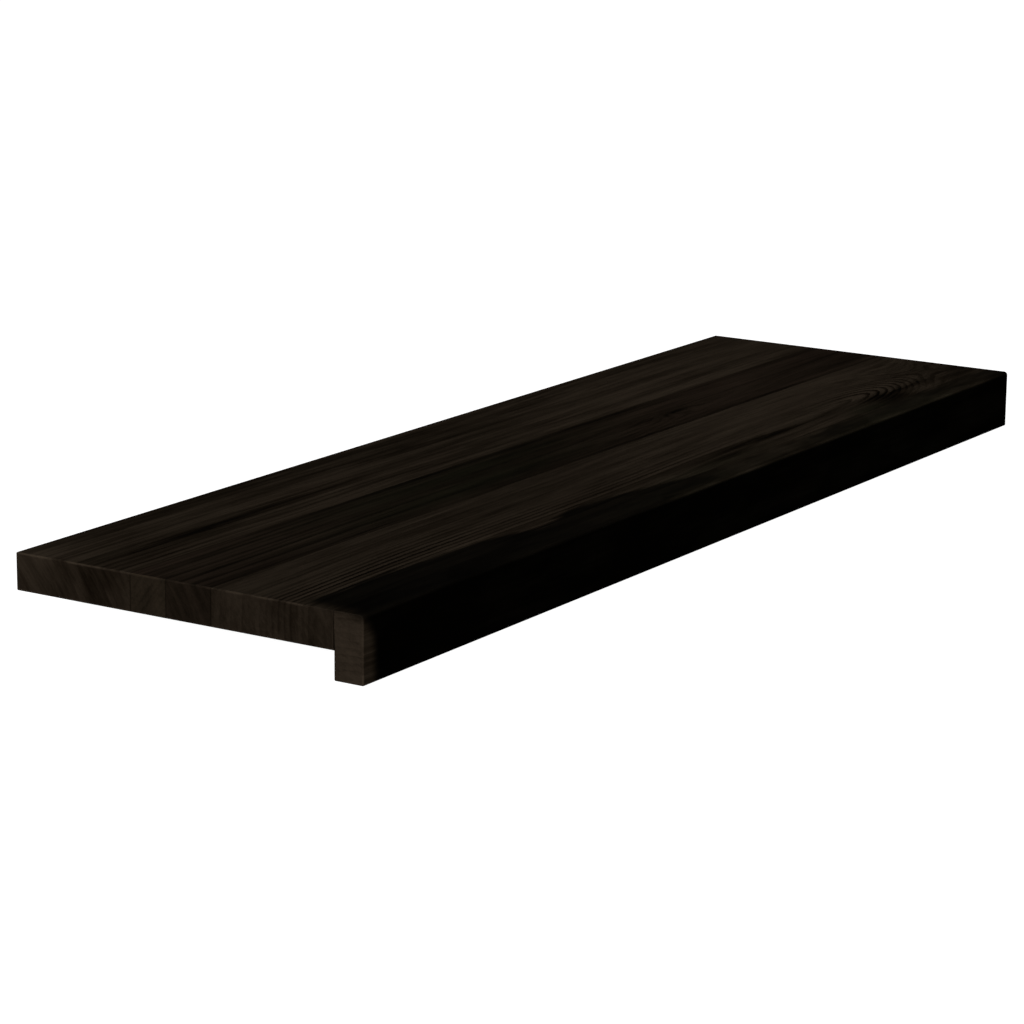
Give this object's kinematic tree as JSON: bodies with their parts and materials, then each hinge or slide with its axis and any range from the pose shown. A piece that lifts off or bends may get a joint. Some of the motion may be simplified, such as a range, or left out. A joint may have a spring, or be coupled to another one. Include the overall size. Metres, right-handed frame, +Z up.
{
  "type": "stair tread",
  "caption": "Dark stained solid wood stair tread: full-length staves glued edge to edge, with a nosing strip along the front that hangs below the board over the riser",
  "frame": {"origin": "under the middle of the tread, level with the foot of the nosing", "axes": "+X along the tread, +Y from the nosing to the rear edge, +Z up"},
  "size_m": [1, 0.3, 0.049],
  "materials": {
    "light_stave_wood": "near-black brown stain under a matt oil, straight grain along the stave",
    "dark_stave_wood": "near-black brown stain under a matt oil, a darker stave, straight grain along it",
    "nosing_wood": "near-black brown stain under a matt oil, straight grain along the strip"
  },
  "bodies": {
    "root": {"nosing_strip": "nosing_wood", "front_stave": "light_stave_wood", "front_middle_stave": "dark_stave_wood", "rear_middle_stave": "dark_stave_wood", "rear_stave": "light_stave_wood"}
  },
  "joints": []
}
